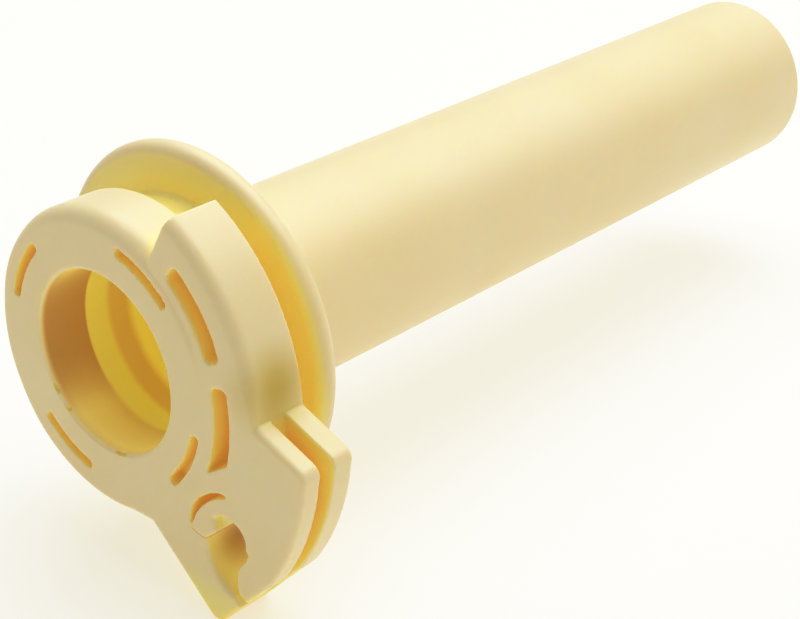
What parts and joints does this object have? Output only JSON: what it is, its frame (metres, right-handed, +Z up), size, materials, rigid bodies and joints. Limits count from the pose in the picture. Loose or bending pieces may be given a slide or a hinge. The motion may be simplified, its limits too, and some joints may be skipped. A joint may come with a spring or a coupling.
{
  "type": "throttle tube",
  "caption": "Moulded nylon throttle tube: long grip sleeve, round-rimmed stop flange, and a cam head with twin ears and a hooked snap finger over the cable-end pocket.",
  "frame": {"origin": "centre of the handlebar bore's mouth, on the inboard face of the cam head", "axes": "+X along the tube's axis from the cam head to the closed outer end; +Z up with the cable drum at the top and the ears towards -Y; the ears' toe points down"},
  "size_m": [0.1345, 0.055, 0.0503],
  "materials": {
    "natural_nylon": "moulded satin, slightly translucent"
  },
  "bodies": {
    "tube": {"bore_collar": "natural_nylon", "cable_drum": "natural_nylon", "front_ear": "natural_nylon", "ear_web": "natural_nylon", "rear_ear": "natural_nylon", "neck": "natural_nylon", "stop_flange": "natural_nylon", "grip_sleeve": "natural_nylon", "end_wall": "natural_nylon"},
    "finger": {"snap_finger": "natural_nylon"}
  },
  "joints": [
    {"name": "finger_flex", "type": "hinge", "parent": "tube", "child": "finger", "pos_m": [0.0038, -0.0203, -0.01134], "axis": [1, 0, 0], "range_deg": [0, 4], "stiffness_Nm_per_rad": 0.5}
  ]
}
